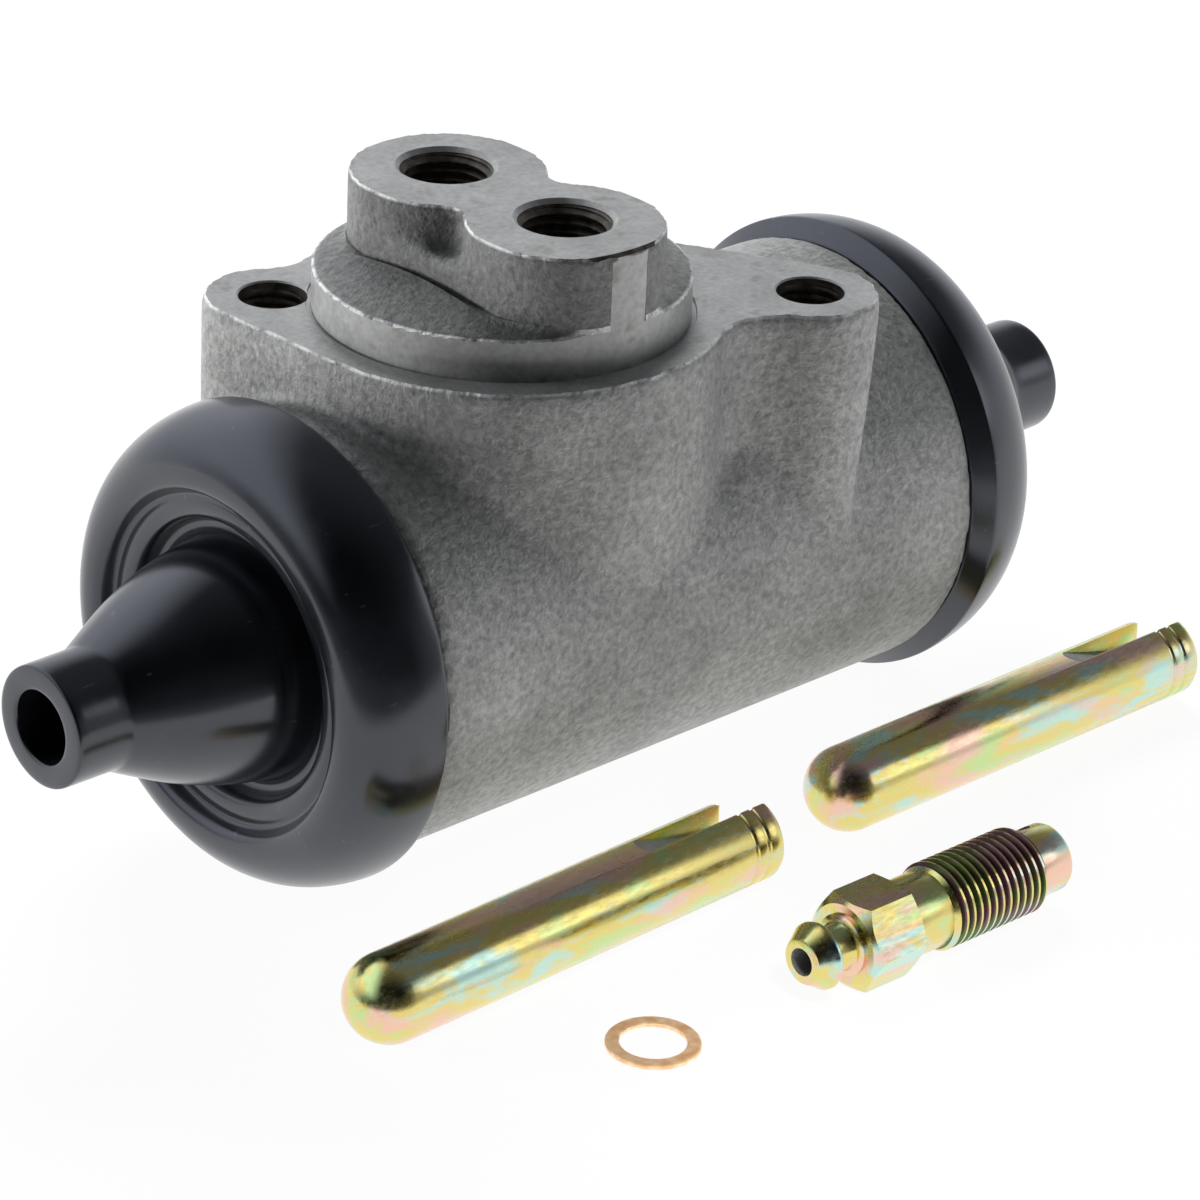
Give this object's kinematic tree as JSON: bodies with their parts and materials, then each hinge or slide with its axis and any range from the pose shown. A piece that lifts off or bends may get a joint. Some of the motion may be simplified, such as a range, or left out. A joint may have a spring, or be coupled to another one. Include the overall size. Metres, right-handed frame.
{
  "type": "wheel cylinder",
  "caption": "Cast-iron drum-brake wheel cylinder with twin ports, eared pilot flange, rubber boots over opposed pistons, and its loose push rods, bleed screw and sealing washer.",
  "frame": {"origin": "centre of the turned mounting pilot, on the flat mounting face", "axes": "+X along the bore towards its long end, +Z out of the fluid ports, -Y towards the loose pieces"},
  "size_m": [0.1424, 0.0873, 0.0686],
  "materials": {
    "cast_iron": "sand-cast with machined faces",
    "boot_rubber": "glossy moulded",
    "piston_alloy": "turned",
    "seal_rubber": "satin",
    "spring_steel": "bright drawn",
    "yellow_zinc": "yellow iridescent zinc plating",
    "copper": "annealed copper"
  },
  "bodies": {
    "cylinder": {"casting": "cast_iron", "left_boot": "boot_rubber", "right_boot": "boot_rubber", "return_spring": "spring_steel", "left_push_rod": "yellow_zinc", "right_push_rod": "yellow_zinc", "bleed_screw": "yellow_zinc", "copper_washer": "copper"},
    "left_piston": {"left_piston": "piston_alloy", "left_cup": "seal_rubber", "left_expander": "spring_steel"},
    "right_piston": {"right_piston": "piston_alloy", "right_cup": "seal_rubber", "right_expander": "spring_steel"}
  },
  "joints": [
    {"name": "left_piston_slide", "type": "slide", "parent": "cylinder", "child": "left_piston", "axis": [-1, 0, 0], "range_m": [0, 0.005], "deforming": ["return_spring"]},
    {"name": "right_piston_slide", "type": "slide", "parent": "cylinder", "child": "right_piston", "axis": [1, 0, 0], "range_m": [0, 0.005], "deforming": ["return_spring"]}
  ]
}
